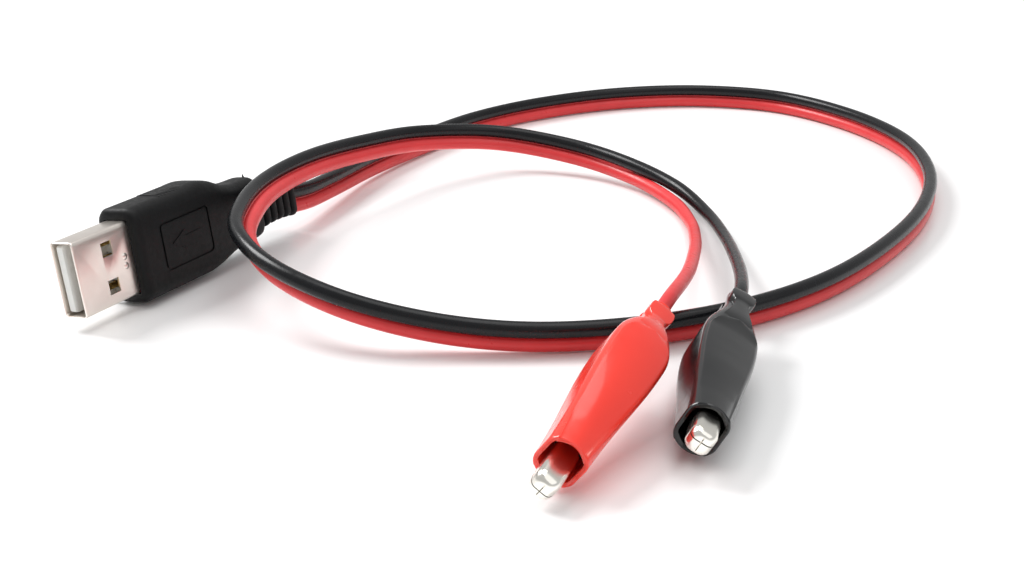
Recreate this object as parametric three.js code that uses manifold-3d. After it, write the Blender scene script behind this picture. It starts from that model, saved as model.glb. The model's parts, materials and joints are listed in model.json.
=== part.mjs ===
// USB plug to alligator clip lead: a USB-A plug, a red and black twin cord and two sprung clips in boots.
// Millimetres, +Z up. The lead lies on the plane z = 0, and the origin is under the middle of the plug
// and the two clips. X runs to the right of the lead as it lies, and Y runs away past the loop.
import * as THREE from "three";
import { mergeVertices } from "three/addons/utils/BufferGeometryUtils.js";
import Module from "manifold-3d";

// ---------------------------------------------------------------- driving dimensions
const GAP = 0.3; // clearance that touching pieces keep

const WIRE = { radius: 1.2, sides: 8, pairSteps: 78, pitch: 2.7 };

// The plug's own frame: x from the mouth back to the cord, z across the wide face, y through it.
const SHELL = { width: 12, height: 4.5, wall: 0.32, length: 18.8, corner: 0.6 };
const WINDOW = { front: 5.7, length: 2.3, height: 2.3, centre: 3.0 };
const TONGUE = { front: 0.5, blockFront: 9.2, end: 18.5, halfWidth: 5.35, top: 0.15, back: 1.6 };
const CONTACT = { front: 1.6, end: 21, width: 1.0, top: -0.35, thickness: 0.25 };
const CONTACT_PLACES = { contact_vbus: 3.5, contact_data_minus: 1, contact_data_plus: -1, contact_ground: -3.5 };
const CORE = { front: 19.1, end: 29, halfWidth: 5.6, halfHeight: 2.3, bore: 1.1 };
const BODY = { front: 11.9, halfWidth: 7.8, halfHeight: 4.0, end: 44.5, cavityEnd: 29.3, corner: 1.9, drop: 0.7 };
const PANEL = { front: 17, end: 29, halfWidth: 4, groove: 0.45, depth: 0.3 };
const RELIEF = { end: 55, droop: 2.2, ribs: 5, groove: 0.55 };

// The clip's own frame: the hinge pin at the origin, x to the jaw tips, z to the moving jaw, y along the pin.
const JAW = { width: 3.4, wall: 0.4, tip: 19, base: -1.8, crown: 1.75, landStart: 14.6, landRise: 0.1 };
const TEETH = { start: 7, end: 17.8, count: 9, depth: 0.6, level: -0.1, gap: 0.45 };
const PIN = { radius: 0.6, hole: 0.9, headRadius: 1.05, headStart: 2.1, headEnd: 2.4 };
const LEVER = { start: -1.6, startHeight: 1.55, end: -11.3, endHeight: 4.5, halfWidth: 2.0, thickness: 0.5 };
const BARREL = { front: -13, end: -19, radius: 1.4, bore: 0.9, axis: -0.4 };
const SPRING = { radius: 1.0, wire: 0.18, turns: 1.5, pitch: 0.42, legEnd: -8 };
const BOOT = { neck: -24, boreEnd: -20.8, mouth: 14, wall: 0.7, bore: 1.6 };
const COLLAR = { start: -23.6, end: -20.5, halfWidth: 1.9, halfHeight: 2.5 };
const RIDGES = { start: 20, count: 9, pitch: 0.72, width: 0.36, halfLength: 2.1, rise: 0.25 };

// Where each assembly lies. Angles are in degrees.
const ORIGIN = new THREE.Vector3(-16.83, 194.81, 0); // bottom middle of the plug and the clips
const PLUG_PLACE = { at: [-67, 197.4, 8.3], heading: 62.75, roll: -7.9 };
const RED_CLIP_PLACE = { at: [11.1, 160.2, 6.0], heading: -114.4, pitch: 9, roll: -37 };
const BLACK_CLIP_PLACE = { at: [27.2, 168.1, 6.2], heading: -104.3, pitch: 2.2, roll: 151 };

// The twin cord's middle line: x, y, z, and how far the pair leans out of the loop at that point.
const PAIR_ROUTE = [
  [-41.2, 246.6, 5.6, 0],
  [-38.6, 252.0, 4.8, 0],
  [-34.9, 262.5, 4.0, 0],
  [-28.8, 279.5, 3.2, 4],
  [-19.8, 297.0, 2.8, 8],
  [-8.0, 315.0, 2.7, 8],
  [7.0, 328.6, 2.7, 8],
  [26.5, 338.7, 2.7, 8],
  [46.5, 341.3, 2.7, 6],
  [64.6, 335.3, 2.7, 4],
  [77.8, 318.6, 2.7, 2],
  [85.0, 296.0, 2.7, 0],
  [84.0, 272.0, 2.7, 0],
  [76.8, 249.3, 2.7, 4],
  [64.8, 228.1, 2.7, 10],
  [49.5, 209.2, 2.7, 14],
  [33.5, 197.3, 2.7, 18],
  [16.5, 190.7, 2.7, 20],
  [1.0, 188.8, 2.9, 20],
  [-12.5, 189.3, 4.3, 20],
  [-25.3, 191.1, 7.2, 24],
  [-36.1, 198.0, 9.8, 30],
  [-42.5, 209.2, 11.5, 42],
  [-43.7, 222.0, 12.0, 50],
  [-42.2, 235.8, 11.9, 44],
  [-37.3, 250.2, 11.5, 26],
  [-29.6, 264.3, 10.4, 16],
  [-18.6, 277.6, 9.0, 12],
  [-3.1, 285.2, 7.0, 10],
  [13.0, 281.4, 5.0, 8],
  [24.6, 271.4, 3.6, 6],
];
// From the split on, each wire goes its own way and ends in the neck of its clip's boot.
const RED_TAIL = [
  [31.2, 257.5, 1.6],
  [33.0, 246.0, 1.5],
  [32.1, 231.5, 3.0],
  [29.9, 217.0, 5.2],
  [26.6, 200.0, 8.2],
];
const BLACK_TAIL = [
  [32.4, 262.4, 3.1],
  [36.8, 250.5, 1.6],
  [37.9, 236.5, 2.1],
  [37.3, 221.5, 4.0],
  [35.9, 205.5, 6.3],
];

const COLOUR = {
  nickel: [0xd9d5cc, 0.25, 0.95],
  gold: [0xd9b75c, 0.3, 0.95],
  copper: [0xb86b3a, 0.4, 0.9],
  spring: [0xb9bcc0, 0.3, 0.95],
  insulator: [0xf1f0ec, 0.5, 0],
  blackMould: [0x16171a, 0.6, 0],
  core: [0xd8d4c6, 0.6, 0],
  redVinyl: [0xe8402f, 0.25, 0],
  blackVinyl: [0x1b1d20, 0.25, 0],
  redWire: [0xd23f44, 0.35, 0],
  blackWire: [0x202226, 0.35, 0],
};

// ---------------------------------------------------------------- solids
const wasm = await Module();
wasm.setup();

// A closed three.js geometry as a solid that can be joined and cut.
function solid(geometry) {
  const flat = new THREE.BufferGeometry();
  const source = geometry.index ? geometry.toNonIndexed() : geometry;
  flat.setAttribute("position", source.getAttribute("position").clone());
  const merged = mergeVertices(flat, 1e-4);
  return new wasm.Manifold(
    new wasm.Mesh({
      numProp: 3,
      vertProperties: merged.attributes.position.array,
      triVerts: new Uint32Array(merged.index.array),
    }),
  );
}

function geometryOf(made) {
  const mesh = made.getMesh();
  const geometry = new THREE.BufferGeometry();
  geometry.setAttribute("position", new THREE.BufferAttribute(mesh.vertProperties.slice(), 3));
  geometry.setIndex(new THREE.BufferAttribute(mesh.triVerts.slice(), 1));
  geometry.computeVertexNormals();
  return geometry;
}

function join(...solids) {
  return solids.reduce((all, next) => all.add(next));
}

function cut(from, ...solids) {
  return solids.reduce((left, next) => left.subtract(next), from);
}

// A box between two corners.
function box(x0, x1, y0, y1, z0, z1) {
  const shape = new THREE.BoxGeometry(x1 - x0, y1 - y0, z1 - z0);
  return solid(shape.translate((x0 + x1) / 2, (y0 + y1) / 2, (z0 + z1) / 2));
}

// A round bar along y through (x, z).
function barAcross(x, z, radius, y0, y1, sides = 20) {
  const shape = new THREE.CylinderGeometry(radius, radius, y1 - y0, sides);
  return solid(shape.translate(x, (y0 + y1) / 2, z));
}

// A round bar along x through (y, z).
function barAlong(y, z, radius, x0, x1, sides = 16) {
  const shape = new THREE.CylinderGeometry(radius, radius, x1 - x0, sides);
  return solid(shape.rotateZ(Math.PI / 2).translate((x0 + x1) / 2, y, z));
}

// A plate whose side view is a closed outline of (x, z) points, between y0 and y1.
function plate(outline, y0, y1) {
  const shape = new THREE.Shape(outline.map(([x, z]) => new THREE.Vector2(x, z)));
  const made = new THREE.ExtrudeGeometry(shape, { depth: y1 - y0, bevelEnabled: false });
  return solid(made.rotateX(Math.PI / 2).translate(0, y1, 0));
}

// A closed skin over rings of points, each ring in its own plane, from the first ring to the last.
function loft(rings) {
  const count = rings[0].length;
  const points = rings.flat();
  const faces = [];
  for (let r = 0; r + 1 < rings.length; r++) {
    for (let i = 0; i < count; i++) {
      const a = r * count + i;
      const b = r * count + ((i + 1) % count);
      faces.push(a, b, b + count, a, b + count, a + count);
    }
  }
  for (const [start, turn] of [[0, true], [(rings.length - 1) * count, false]]) {
    for (let i = 1; i + 1 < count; i++) {
      faces.push(start, start + (turn ? i + 1 : i), start + (turn ? i : i + 1));
    }
  }
  const geometry = new THREE.BufferGeometry().setFromPoints(points);
  return solid(geometry.setIndex(faces));
}

// A rounded rectangle across x, with quarter circles at its corners.
function roundedRing(x, halfY, halfZ, corner, middleZ = 0) {
  const radius = Math.min(corner, halfY, halfZ);
  const stepsPerCorner = 4;
  const ring = [];
  for (const [sideY, sideZ, from] of [[1, 1, 0], [-1, 1, 90], [-1, -1, 180], [1, -1, 270]]) {
    for (let k = 0; k <= stepsPerCorner; k++) {
      const angle = THREE.MathUtils.degToRad(from + (90 * k) / stepsPerCorner);
      const y = sideY * (halfY - radius) + radius * Math.cos(angle);
      const z = sideZ * (halfZ - radius) + radius * Math.sin(angle);
      ring.push(new THREE.Vector3(x, y, middleZ + z));
    }
  }
  return ring;
}

// A superellipse across x.
function ovalRing(x, halfY, halfZ, middleZ, power, count = 20) {
  const ring = [];
  for (let i = 0; i < count; i++) {
    const angle = (2 * Math.PI * i) / count;
    const c = Math.cos(angle);
    const s = Math.sin(angle);
    const y = halfY * Math.sign(c) * Math.abs(c) ** (2 / power);
    const z = halfZ * Math.sign(s) * Math.abs(s) ** (2 / power);
    ring.push(new THREE.Vector3(x, y, middleZ + z));
  }
  return ring;
}

// A round tube along a smooth curve through the points.
function tube(points, radius, sides, steps) {
  const path = new THREE.CatmullRomCurve3(points.map((p) => new THREE.Vector3(...p)));
  const section = new THREE.Shape();
  for (let i = 0; i < sides; i++) {
    const angle = (2 * Math.PI * i) / sides;
    const method = i ? "lineTo" : "moveTo";
    section[method](radius * Math.cos(angle), radius * Math.sin(angle));
  }
  section.closePath();
  return new THREE.ExtrudeGeometry(section, { steps, extrudePath: path, bevelEnabled: false });
}

function part(name, shape, [color, roughness, metalness]) {
  const geometry = shape.isBufferGeometry ? shape : geometryOf(shape);
  const mesh = new THREE.Mesh(geometry, new THREE.MeshStandardMaterial({ color, roughness, metalness }));
  mesh.name = name;
  return mesh;
}

// ---------------------------------------------------------------- the plug
function plugShell() {
  const { width, height, wall, length, corner } = SHELL;
  const outer = loft([0, length].map((x) => roundedRing(x, height / 2, width / 2, corner)));
  const inner = loft([-1, length + 1].map((x) => roundedRing(x, height / 2 - wall, width / 2 - wall, corner)));
  const { front, length: opening, height: tall, centre } = WINDOW;
  const windows = [-centre, centre].map((z) =>
    box(front, front + opening, -height, height, z - tall / 2, z + tall / 2),
  );
  return cut(outer, inner, ...windows);
}

// The insulator: a thin tongue in the mouth and a block behind it, with a tunnel for each contact.
function plugTongue() {
  const { front, blockFront, end, halfWidth, top, back } = TONGUE;
  const tongue = box(front, end, top, back, -halfWidth, halfWidth);
  const block = box(blockFront, end, -back, back, -halfWidth, halfWidth);
  const tunnels = Object.values(CONTACT_PLACES).map((z) =>
    box(blockFront - 1, end + 1, CONTACT.top - GAP, top, z - CONTACT.width / 2 - GAP, z + CONTACT.width / 2 + GAP),
  );
  return cut(join(tongue, block), ...tunnels);
}

function contact(z) {
  const { front, end, width, top, thickness } = CONTACT;
  return box(front, end, top, top + thickness, z - width / 2, z + width / 2);
}

// The hard inner moulding round the contacts' tails, with a bore for each copper core.
function plugCore() {
  const { front, end, halfWidth, halfHeight, bore } = CORE;
  const block = box(front, end, -halfHeight, halfHeight, -halfWidth, halfWidth);
  const middle = CONTACT.top + CONTACT.thickness / 2;
  const cores = [CONTACT_PLACES.contact_vbus, CONTACT_PLACES.contact_ground].map((z) =>
    barAlong(middle, z, bore, front - 1, end + 1),
  );
  const pockets = [CONTACT_PLACES.contact_data_minus, CONTACT_PLACES.contact_data_plus].map((z) =>
    box(front - 1, CONTACT.end + GAP, middle - 0.5, middle + 0.5, z - 0.8, z + 0.8),
  );
  return cut(block, ...cores, ...pockets);
}

function copperCore(z) {
  const middle = CONTACT.top + CONTACT.thickness / 2;
  return barAlong(middle, z, 0.5, CONTACT.end + GAP, CORE.end - GAP, 10);
}

// The outer moulding: a rounded block that narrows to the ribbed strain relief.
function plugOvermould() {
  const { front, halfWidth, halfHeight, end, cavityEnd, corner, drop } = BODY;
  const stations = [
    [front, 0.4, 0.3, 0],
    [front + 0.6, 0, 0, 0],
    [29, 0, 0, 0],
    [32, 0.5, 0.1, 0.15],
    [35, 1.5, 0.2, 0.4],
    [38, 2.1, 0.4, 0.6],
    [end - 0.6, 2.3, 0.7, drop],
    [end, 2.8, 1.2, drop],
  ];
  const rings = stations.map(([x, lessWide, lessHigh, lower]) =>
    roundedRing(x, halfHeight - lessHigh, halfWidth - lessWide, corner, -lower),
  );
  const step = (RELIEF.end - end) / RELIEF.ribs;
  for (let rib = 0; rib < RELIEF.ribs; rib++) {
    for (const [share, depth] of [[0.08, RELIEF.groove], [0.3, RELIEF.groove], [0.38, 0], [0.98, 0]]) {
      const along = (rib + share) / RELIEF.ribs;
      const x = end + step * (rib + share);
      const halfZ = THREE.MathUtils.lerp(4.3, 3.2, along) - depth;
      const halfY = THREE.MathUtils.lerp(3.0, 2.2, along) - depth;
      rings.push(roundedRing(x, halfY, halfZ, corner, -drop - (RELIEF.droop - drop) * along ** 2));
    }
  }
  const cavity = box(
    front - 1, cavityEnd,
    -SHELL.height / 2 - GAP, SHELL.height / 2 + GAP,
    -SHELL.width / 2 - GAP, SHELL.width / 2 + GAP,
  );
  return cut(join(loft(rings), ...gripRidges()), cavity, ...panelGrooves());
}

// Short ridges across the two narrow sides.
function gripRidges() {
  const { start, count, pitch, width, halfLength, rise } = RIDGES;
  const ridges = [];
  for (const side of [-1, 1]) {
    for (let i = 0; i < count; i++) {
      const x = start + pitch * i;
      const z = side * BODY.halfWidth;
      ridges.push(box(x, x + width, -halfLength, halfLength, z - rise, z + rise));
    }
  }
  return ridges;
}

// A rounded-off frame line sunk in each wide face.
function panelGrooves() {
  const { front, end, halfWidth, groove, depth } = PANEL;
  return [-1, 1].map((side) => {
    const low = side < 0 ? -BODY.halfHeight - 1 : BODY.halfHeight - depth;
    const high = side < 0 ? -BODY.halfHeight + depth : BODY.halfHeight + 1;
    const outer = box(front, end, low, high, -halfWidth, halfWidth);
    const inner = box(front + groove, end - groove, low - 1, high + 1, -halfWidth + groove, halfWidth - groove);
    return cut(outer, inner);
  });
}

function buildPlug() {
  const plug = new THREE.Group();
  plug.add(part("plug_shell", plugShell(), COLOUR.nickel));
  plug.add(part("plug_tongue", plugTongue(), COLOUR.insulator));
  for (const [name, z] of Object.entries(CONTACT_PLACES)) {
    plug.add(part(name, contact(z), COLOUR.gold));
  }
  plug.add(part("plug_core", plugCore(), COLOUR.core));
  plug.add(part("plug_red_conductor", copperCore(CONTACT_PLACES.contact_vbus), COLOUR.copper));
  plug.add(part("plug_black_conductor", copperCore(CONTACT_PLACES.contact_ground), COLOUR.copper));
  plug.add(part("plug_overmould", plugOvermould(), COLOUR.blackMould));
  return plug;
}

// ---------------------------------------------------------------- the clips
// The zigzag along a jaw's biting edge, from the hinge side to the tip, raised by lift.
function toothEdge(lift) {
  const edge = [];
  const pitch = (TEETH.end - TEETH.start) / TEETH.count;
  for (let i = 0; i < TEETH.count; i++) {
    const x = TEETH.start + pitch * i;
    edge.push([x, TEETH.level + lift - TEETH.depth], [x + pitch / 2, TEETH.level + lift]);
  }
  edge.push([TEETH.end, TEETH.level + lift - TEETH.depth]);
  return edge;
}

// The lower channel: ears for the pin, teeth in front, a crimp barrel behind. Its back has a flat land near the tip.
function fixedJaw() {
  const { width, wall, tip, base, landStart, landRise } = JAW;
  const half = width / 2;
  const outline = [
    [-12.4, base + landRise],
    [landStart, base + landRise],
    [landStart, base],
    [17.6, base],
    [18.6, base + 0.35],
    [tip, base + 0.9],
    [tip, TEETH.level - TEETH.depth - 0.05],
    ...toothEdge(0).reverse(),
    [5.2, -0.35],
    [2.4, 1.2],
    [1.2, 1.75],
    [-1.2, 1.75],
    [-2.2, 1.1],
    [-3.4, -1.2],
    [-12.4, -1.2],
  ];
  const body = plate(outline, -half, half);
  const floor = base + landRise + wall;
  const trough = box(-14, tip - 0.6, -half + wall, half - wall, floor, 5);
  const hole = barAcross(0, 0, PIN.hole, -half - 1, half + 1);
  const { front, end, radius, bore, axis } = BARREL;
  const barrel = barAlong(0, axis, radius, end, front);
  const strap = box(front - 0.2, -12, -1.1, 1.1, base + landRise, floor);
  const bored = barAlong(0, axis, bore, end - 1, front + 1);
  const seam = box(end - 1, front + 1, -0.2, 0.2, axis, axis + 2);
  return cut(join(cut(body, trough, hole), cut(barrel, bored, seam), strap));
}

// The upper channel: teeth in front, narrow ears inside the lower one's, and the thumb lever behind.
function movingJaw() {
  const { width, wall, tip, crown } = JAW;
  const half = width / 2;
  const narrow = half - wall - GAP;
  const front = plate(
    [
      [5.6, crown],
      [17.4, crown],
      [18.5, crown - 0.4],
      [tip, crown - 1.0],
      [tip, TEETH.level - TEETH.depth + TEETH.gap + 0.05],
      ...toothEdge(TEETH.gap).reverse(),
      [5.6, TEETH.level + TEETH.gap],
    ].reverse(),
    -half, half,
  );
  const frontHollow = box(5, tip - 0.6, -half + wall, half - wall, -3, crown - wall);
  const { start, startHeight, end, endHeight, halfWidth, thickness } = LEVER;
  const arm = plate(
    [
      [7, crown],
      [start, startHeight + 0.6],
      [end, endHeight + thickness / 2],
      [end, endHeight - thickness / 2],
      [-4.5, 2.05],
      [-1.3, 0.4],
      [-0.6, -1.15],
      [0.6, -1.15],
      [2.2, -0.1],
      [7, 0.75],
    ].reverse(),
    -narrow, narrow,
  );
  const armHollow = plate(
    [
      [7.5, crown - wall],
      [0, crown - 0.25],
      [-1.7, startHeight + 0.1],
      [end - 1, endHeight - thickness / 2 + 0.35],
      [end - 1, -3],
      [7.5, -3],
    ].reverse(),
    -narrow + wall, narrow - wall,
  );
  const slope = (endHeight - startHeight) / (end - start);
  const padStart = -4.6;
  const padHeight = startHeight + slope * (padStart - start);
  const pad = plate(
    [
      [padStart, padHeight + thickness / 2],
      [end, endHeight + thickness / 2],
      [end, endHeight - thickness / 2],
      [padStart, padHeight - thickness / 2],
    ].reverse(),
    -halfWidth, halfWidth,
  );
  const hole = barAcross(0, 0, PIN.hole, -half - 1, half + 1);
  return cut(join(cut(front, frontHollow), cut(arm, armHollow, hole), pad));
}

// The hinge pin with its two rolled heads.
function pivotPin() {
  const shank = barAcross(0, 0, PIN.radius, -PIN.headEnd, PIN.headEnd);
  const heads = [-1, 1].map((side) => {
    const ends = [side * PIN.headStart, side * PIN.headEnd].sort((a, b) => a - b);
    return barAcross(0, 0, PIN.headRadius, ends[0], ends[1]);
  });
  return join(shank, ...heads);
}

// The coil round the pin, with one leg along the lower channel and one under the lever.
function torsionSpring() {
  const { radius, turns, pitch, legEnd, wire } = SPRING;
  const steps = 14;
  const coil = [];
  for (let i = 0; i <= steps; i++) {
    const angle = -Math.PI / 2 + (2 * Math.PI * turns * i) / steps;
    const y = -(turns * pitch) / 2 + (turns * pitch * i) / steps;
    coil.push([radius * Math.cos(angle), y, radius * Math.sin(angle)]);
  }
  const low = coil[0];
  const high = coil[coil.length - 1];
  const path = [
    [legEnd, low[1], -radius - 0.02],
    [legEnd / 2, low[1], -radius - 0.02],
    ...coil,
    [legEnd / 2, high[1], 1.35],
    [legEnd, high[1], 2.5],
  ];
  return tube(path, wire, 6, 60);
}

// Stations along the boot: x, half width, half height, height of the middle, and how square it is.
const BOOT_STATIONS = [
  [BOOT.neck, 1.95, 1.95, -0.4, 2],
  [-21.2, 2.0, 2.0, -0.4, 2],
  [-19.2, 2.25, 2.5, -0.15, 2.2],
  [-17, 2.6, 3.1, 0.35, 2.6],
  [-14.5, 3.2, 3.8, 1.0, 3],
  [-12, 3.85, 4.3, 1.45, 3.4],
  [-9, 4.2, 4.5, 1.6, 3.5],
  [-5.5, 4.2, 4.45, 1.55, 3.5],
  [-2, 4.05, 4.35, 1.4, 3.4],
  [2, 3.75, 4.2, 1.2, 3.2],
  [7, 3.35, 4.05, 1.0, 3],
  [12, 3.1, 3.9, 0.8, 3],
  [BOOT.mouth, 3.05, 3.9, 0.75, 3],
];

function boot() {
  const { neck, boreEnd, mouth, wall, bore } = BOOT;
  const outer = BOOT_STATIONS.map(([x, y, z, middle, power]) => ovalRing(x, y, z, middle, power));
  const inner = BOOT_STATIONS.filter(([x]) => x > boreEnd && x < mouth).map(([x, y, z, middle, power]) =>
    ovalRing(x, y - wall, z - wall, middle, power),
  );
  const [, mouthHalfY, mouthHalfZ, mouthMiddle, mouthPower] = BOOT_STATIONS.at(-1);
  inner.unshift(ovalRing(neck - 1, bore, bore, BARREL.axis, 2), ovalRing(boreEnd, bore, bore, BARREL.axis, 2));
  inner.push(ovalRing(mouth + 1, mouthHalfY - wall, mouthHalfZ - wall, mouthMiddle, mouthPower));
  const { start, end, halfWidth, halfHeight } = COLLAR;
  const collar = box(start, end, -halfWidth, halfWidth, BARREL.axis - halfHeight, BARREL.axis + halfHeight);
  return cut(join(loft(outer), collar), loft(inner));
}

function clipConductor() {
  return barAlong(0, BARREL.axis, 0.6, -20.9, BARREL.front + 0.5, 10);
}

function buildClip(colour, vinyl) {
  const clip = new THREE.Group();
  clip.add(part(`${colour}_fixed_jaw`, fixedJaw(), COLOUR.nickel));
  clip.add(part(`${colour}_moving_jaw`, movingJaw(), COLOUR.nickel));
  clip.add(part(`${colour}_pivot_pin`, pivotPin(), COLOUR.nickel));
  clip.add(part(`${colour}_torsion_spring`, torsionSpring(), COLOUR.spring));
  clip.add(part(`${colour}_clip_conductor`, clipConductor(), COLOUR.copper));
  clip.add(part(`${colour}_boot`, boot(), vinyl));
  return clip;
}

// ---------------------------------------------------------------- the cord
// One wire of the pair: its middle line lies half a pitch to one side of the pair's.
function pairSide(side) {
  const up = new THREE.Vector3(0, 0, 1);
  return PAIR_ROUTE.map(([x, y, z, lean], i) => {
    const before = PAIR_ROUTE[Math.max(i - 1, 0)];
    const after = PAIR_ROUTE[Math.min(i + 1, PAIR_ROUTE.length - 1)];
    const along = new THREE.Vector3(after[0] - before[0], after[1] - before[1], 0).normalize();
    const outward = new THREE.Vector3().crossVectors(up, along);
    const angle = THREE.MathUtils.degToRad(lean);
    const across = outward.multiplyScalar(Math.sin(angle)).addScaledVector(up, Math.cos(angle));
    const place = new THREE.Vector3(x, y, z).addScaledVector(across, (side * WIRE.pitch) / 2);
    return place.toArray();
  });
}

// The last two points of a wire: at the boot's neck and inside it, in line with the clip.
function neckPoints(clip) {
  return [BOOT.neck - 4, BOOT.neck, -21.3].map((x) => clip.localToWorld(new THREE.Vector3(x, 0, BARREL.axis)).toArray());
}

function wire(name, side, tail, clip, finish) {
  const points = [...pairSide(side), ...tail, ...neckPoints(clip)];
  return part(name, tube(points, WIRE.radius, WIRE.sides, WIRE.pairSteps), finish);
}

// ---------------------------------------------------------------- the whole lead
function placed(group, { at, heading, pitch = 0, roll = 0 }) {
  group.rotation.order = "ZYX";
  group.rotation.set(...[roll, pitch, heading].map(THREE.MathUtils.degToRad));
  group.position.set(...at);
  group.updateMatrixWorld(true);
  return group;
}

const plug = placed(buildPlug(), PLUG_PLACE);
const redClip = placed(buildClip("red", COLOUR.redVinyl), RED_CLIP_PLACE);
const blackClip = placed(buildClip("black", COLOUR.blackVinyl), BLACK_CLIP_PLACE);
const redWire = wire("red_wire", -1, RED_TAIL, redClip, COLOUR.redWire);
const blackWire = wire("black_wire", 1, BLACK_TAIL, blackClip, COLOUR.blackWire);

const lead = new THREE.Group();
lead.add(plug, redWire, blackWire, redClip, blackClip);
lead.position.copy(ORIGIN).negate();

export default lead;
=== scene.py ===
"""Looks for the USB plug to alligator clip lead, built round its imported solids.

Everything is in metres in the solids' own frame. Each assembly has a local frame in millimetres, and
a Place says where that frame lies. Along the plug, x runs from the mouth back to the cord, z across
its wide face and y through it. Along a clip, x runs from the hinge pin to the jaw tips, z towards the
moving jaw and y along the pin.
"""

import json
import logging
import math
from dataclasses import dataclass
from enum import Enum

import bmesh
import bpy
import numpy as np
from mathutils import Matrix, Vector

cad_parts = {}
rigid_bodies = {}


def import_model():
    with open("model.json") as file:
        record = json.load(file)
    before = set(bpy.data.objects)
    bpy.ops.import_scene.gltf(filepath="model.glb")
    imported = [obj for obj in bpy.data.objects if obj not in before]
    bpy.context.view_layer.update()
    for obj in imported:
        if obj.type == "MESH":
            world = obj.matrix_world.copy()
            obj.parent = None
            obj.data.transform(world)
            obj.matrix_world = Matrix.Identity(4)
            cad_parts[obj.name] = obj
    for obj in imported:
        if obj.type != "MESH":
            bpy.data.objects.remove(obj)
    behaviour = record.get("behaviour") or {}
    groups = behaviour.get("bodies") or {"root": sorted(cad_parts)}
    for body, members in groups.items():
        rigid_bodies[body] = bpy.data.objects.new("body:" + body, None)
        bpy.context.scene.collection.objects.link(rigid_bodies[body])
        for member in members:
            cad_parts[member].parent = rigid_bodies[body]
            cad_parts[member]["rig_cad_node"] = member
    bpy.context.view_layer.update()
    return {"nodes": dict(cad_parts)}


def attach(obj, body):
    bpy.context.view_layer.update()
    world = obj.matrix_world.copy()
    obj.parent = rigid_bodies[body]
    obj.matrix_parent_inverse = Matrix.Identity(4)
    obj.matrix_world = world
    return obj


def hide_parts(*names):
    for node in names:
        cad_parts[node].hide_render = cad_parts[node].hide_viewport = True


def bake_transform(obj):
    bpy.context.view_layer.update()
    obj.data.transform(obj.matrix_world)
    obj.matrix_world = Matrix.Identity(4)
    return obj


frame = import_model()

LOG = logging.getLogger("lead")
MM = 0.001
LOWEST = 0.00003  # metres above the table that nothing goes below
LEAD_BODY = "lead"

Point = tuple[float, float, float]
Skin = tuple[np.ndarray, list[tuple[int, ...]]]

# The twin cord's middle line, in metres, and how far in degrees the pair leans out of its loop.
PAIR_ROUTE = (
    (-0.02437, 0.05179, 0.0056, 0),
    (-0.02177, 0.05719, 0.0048, 0),
    (-0.01807, 0.06769, 0.004, 0),
    (-0.01197, 0.08469, 0.0032, 4),
    (-0.00297, 0.10219, 0.0028, 8),
    (0.00883, 0.12019, 0.0027, 8),
    (0.02383, 0.13379, 0.0027, 8),
    (0.04333, 0.14389, 0.0027, 8),
    (0.06333, 0.14649, 0.0027, 6),
    (0.08143, 0.14049, 0.0027, 4),
    (0.09463, 0.12379, 0.0027, 2),
    (0.10183, 0.10119, 0.0027, 0),
    (0.10083, 0.07719, 0.0027, 0),
    (0.09363, 0.05449, 0.0027, 4),
    (0.08163, 0.03329, 0.0027, 10),
    (0.06633, 0.01439, 0.0027, 14),
    (0.05033, 0.00249, 0.0027, 18),
    (0.03333, -0.00411, 0.0027, 20),
    (0.01783, -0.00601, 0.0029, 20),
    (0.00433, -0.00551, 0.0043, 20),
    (-0.00847, -0.00371, 0.0072, 24),
    (-0.01927, 0.00319, 0.0098, 30),
    (-0.02567, 0.01439, 0.0115, 42),
    (-0.02687, 0.02719, 0.012, 50),
    (-0.02537, 0.04099, 0.0119, 44),
    (-0.02047, 0.05539, 0.0115, 26),
    (-0.01277, 0.06949, 0.0104, 16),
    (-0.00177, 0.08279, 0.009, 12),
    (0.01373, 0.09039, 0.007, 10),
    (0.02983, 0.08659, 0.005, 8),
    (0.04143, 0.07659, 0.0036, 6),
)
RED_TAIL = (
    (0.04803, 0.06269, 0.0016),
    (0.04983, 0.05119, 0.0015),
    (0.04893, 0.03669, 0.003),
    (0.04673, 0.02219, 0.0052),
    (0.04343, 0.00519, 0.0082),
)
BLACK_TAIL = (
    (0.04923, 0.06759, 0.0031),
    (0.05363, 0.05569, 0.0016),
    (0.05473, 0.04169, 0.0021),
    (0.05413, 0.02669, 0.004),
    (0.05273, 0.01069, 0.0063),
)


class Jaw(Enum):
    """Which of a clip's two jaws a piece belongs to."""

    FIXED = "fixed_jaw"
    MOVING = "moving_jaw"


class Side(Enum):
    """Which wire of the twin cord a tube is: the red one lies under the black one."""

    RED = -1
    BLACK = 1


@dataclass(frozen=True)
class Place:
    """Where an assembly's own frame lies: a point in millimetres and three angles in degrees."""

    at: Point
    heading: float
    pitch: float = 0.0
    roll: float = 0.0

    def matrix(self) -> Matrix:
        """The transform from the assembly's millimetres to the lead's metres."""
        turn = Matrix.Rotation(math.radians(self.heading), 4, "Z")
        turn = turn @ Matrix.Rotation(math.radians(self.pitch), 4, "Y")
        turn = turn @ Matrix.Rotation(math.radians(self.roll), 4, "X")
        return Matrix.Translation(Vector(self.at) * MM) @ turn @ Matrix.Scale(MM, 4)

    def point(self, x: float, y: float, z: float) -> Vector:
        """A point of the assembly, in the lead's metres."""
        return self.matrix() @ Vector((x, y, z))


PLUG_PLACE = Place(at=(-50.17, 2.59, 8.3), heading=62.75, roll=-7.9)
RED_CLIP_PLACE = Place(at=(27.93, -34.61, 6.0), heading=-114.4, pitch=9.0, roll=-37.0)
BLACK_CLIP_PLACE = Place(at=(44.03, -26.71, 6.2), heading=-104.3, pitch=2.2, roll=151.0)


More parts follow.
